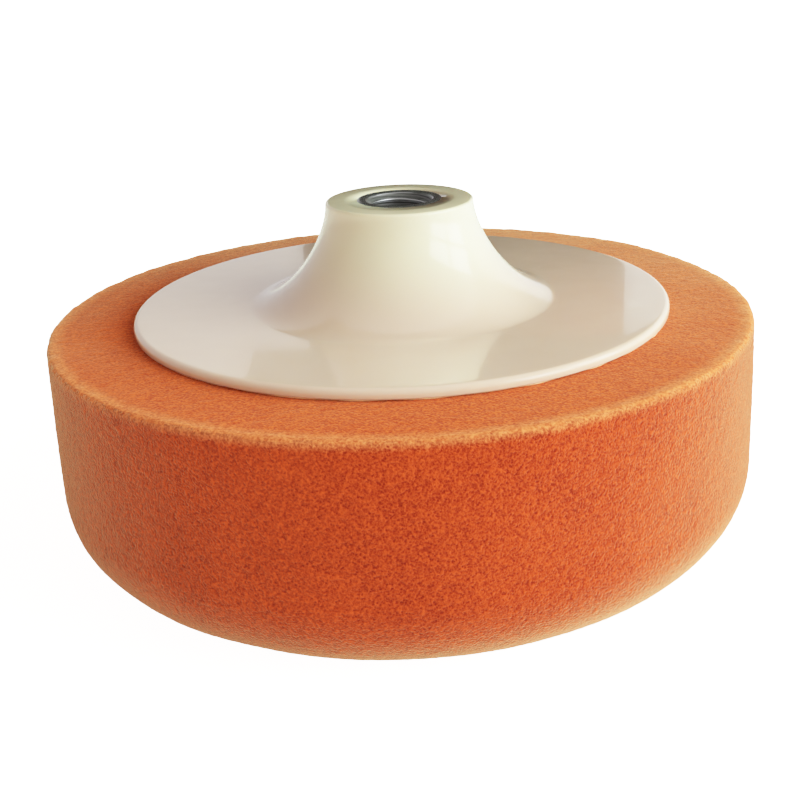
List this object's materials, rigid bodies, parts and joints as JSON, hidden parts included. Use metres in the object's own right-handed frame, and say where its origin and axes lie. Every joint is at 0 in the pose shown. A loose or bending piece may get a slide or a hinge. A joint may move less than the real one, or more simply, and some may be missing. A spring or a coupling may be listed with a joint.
{
  "type": "foam polishing pad",
  "caption": "Round orange foam polishing pad bonded to a moulded ivory backing plate with a flared hub and a threaded steel insert for a rotary polisher's spindle.",
  "frame": {"origin": "centre of the foam's flat working face, on the spindle axis", "axes": "+Z along the spindle axis, from the working face towards the hub's seat; X and Y are any two square directions, because the pad is round"},
  "size_m": [0.1516, 0.1516, 0.0728],
  "materials": {
    "foam": "open-cell polyurethane foam, fine cut cells, orange",
    "glue": "thin cured glue film, amber",
    "plate": "glossy ivory moulding, slightly milky",
    "steel": "turned steel, lightly oiled"
  },
  "bodies": {
    "root": {"foam_pad": "foam", "glue_film": "glue", "backing_hub": "plate", "threaded_insert": "steel"}
  },
  "joints": []
}
